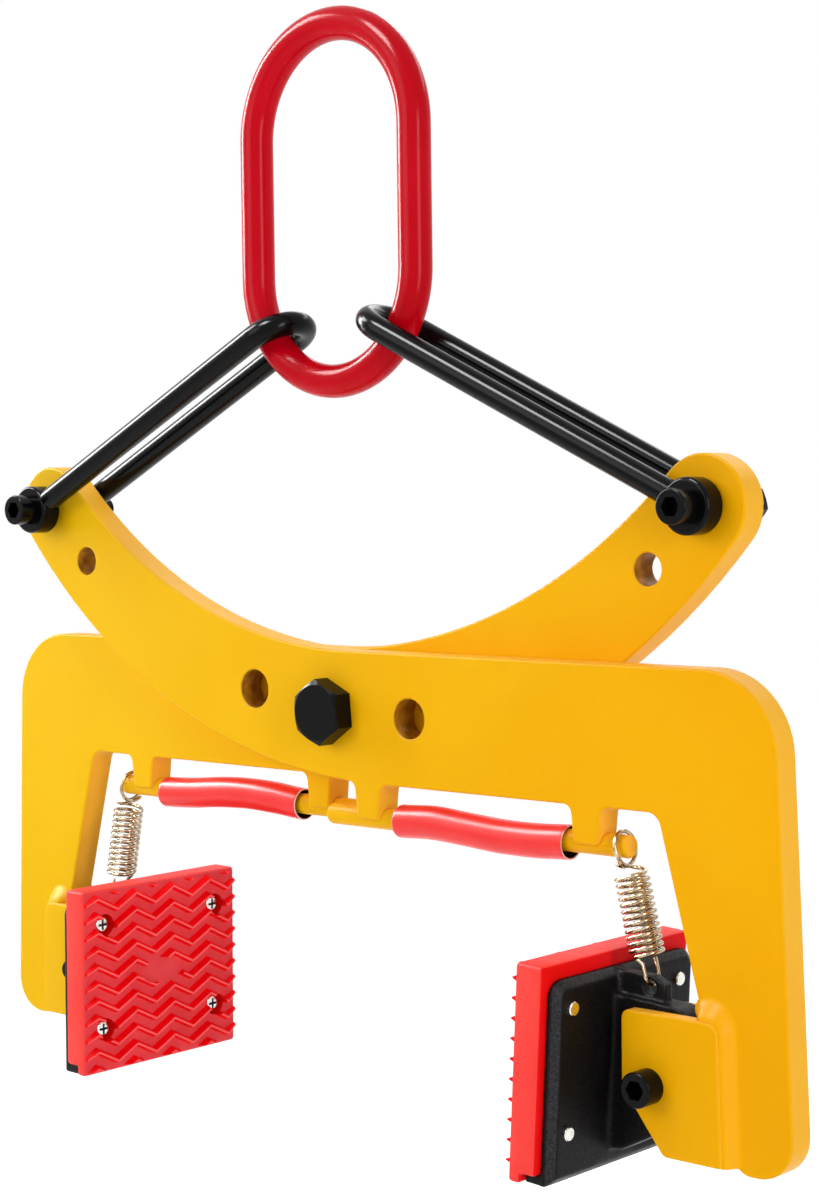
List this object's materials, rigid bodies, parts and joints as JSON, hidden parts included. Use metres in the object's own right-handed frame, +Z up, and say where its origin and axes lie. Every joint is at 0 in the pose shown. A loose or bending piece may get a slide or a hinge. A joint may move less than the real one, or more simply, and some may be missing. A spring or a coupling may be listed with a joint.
{
  "type": "kerb lifting clamp",
  "caption": "Kerb lifting clamp with crossed yellow jaw plates hung by bent black links from a red ring, ribbed red rubber pads held by springs and sleeved stop rods.",
  "frame": {"origin": "seat of the crane hook: lowest point of the lifting ring's inner top", "axes": "+Z up along the hanging line, +X to the side of the jaw that the front plate's leg holds, +Y along the pivot bolt from its head to its nut"},
  "size_m": [0.3542, 0.0798, 0.3621],
  "materials": {
    "yellow_paint": "gloss",
    "red_paint": "gloss",
    "black_steel": "satin",
    "black_cast": "textured black",
    "red_rubber": "matt",
    "zinc": "zinc plated"
  },
  "bodies": {
    "ring": {"lifting_ring": "red_paint"},
    "front_link_body": {"front_link": "black_steel", "front_link_screw": "black_steel", "front_link_nut": "black_steel"},
    "front_jaw": {"front_jaw_plate": "yellow_paint", "front_stop_rod": "yellow_paint", "front_stop_sleeve": "red_rubber", "front_cheek_outer": "yellow_paint", "front_cheek_inner": "yellow_paint", "front_pad_bolt": "black_steel", "front_pad_bolt_nut": "black_steel", "front_pad_spring": "zinc", "pivot_bolt": "black_steel", "pivot_washer": "black_steel", "pivot_nut": "black_steel"},
    "front_pad": {"front_pad_backing": "black_cast", "front_pad_rubber": "red_rubber", "front_pad_screws": "zinc"},
    "rear_link_body": {"rear_link": "black_steel", "rear_link_screw": "black_steel", "rear_link_nut": "black_steel"},
    "rear_jaw": {"rear_jaw_plate": "yellow_paint", "rear_stop_rod": "yellow_paint", "rear_stop_sleeve": "red_rubber", "rear_cheek_outer": "yellow_paint", "rear_cheek_inner": "yellow_paint", "rear_pad_bolt": "black_steel", "rear_pad_bolt_nut": "black_steel", "rear_pad_spring": "zinc"},
    "rear_pad": {"rear_pad_backing": "black_cast", "rear_pad_rubber": "red_rubber", "rear_pad_screws": "zinc"}
  },
  "joints": [
    {"name": "jaw_pivot", "type": "hinge", "parent": "front_jaw", "child": "rear_jaw", "pos_m": [0, 0.0048, -0.2181], "axis": [0, -1, 0], "range_deg": [-12, 24]},
    {"name": "front_link_swing", "type": "hinge", "parent": "ring", "child": "front_link_body", "pos_m": [-0.02874, 0, -0.0954], "axis": [0, 1, 0], "range_deg": [-14.19, 7.17]},
    {"name": "front_eye_swing", "type": "hinge", "parent": "front_link_body", "child": "front_jaw", "pos_m": [-0.1404, -0.0004, -0.1516], "axis": [0, 1, 0], "range_deg": [-13.17, 26.19]},
    {"name": "rear_eye_swing", "type": "hinge", "parent": "rear_jaw", "child": "rear_link_body", "pos_m": [0.1404, 0.01, -0.1516], "axis": [0, 1, 0], "range_deg": [-13.17, 26.19]},
    {"name": "front_pad_tilt", "type": "hinge", "parent": "front_jaw", "child": "front_pad", "pos_m": [0.1313, -0.0004, -0.3201], "axis": [0, 1, 0], "range_deg": [-13.5, 6.5], "stiffness_Nm_per_rad": 0.6, "springref_deg": 4.41, "deforming": ["front_pad_spring"]},
    {"name": "rear_pad_tilt", "type": "hinge", "parent": "rear_jaw", "child": "rear_pad", "pos_m": [-0.1313, 0.01, -0.3201], "axis": [0, -1, 0], "range_deg": [-9.15, 10.85], "stiffness_Nm_per_rad": 0.6, "springref_deg": 4.41, "deforming": ["rear_pad_spring"]}
  ],
  "couplings": [
    {"joint": "front_link_swing", "follows": "jaw_pivot", "ratio": -0.585},
    {"joint": "front_eye_swing", "follows": "jaw_pivot", "ratio": 1.085},
    {"joint": "rear_eye_swing", "follows": "jaw_pivot", "ratio": 1.085}
  ]
}
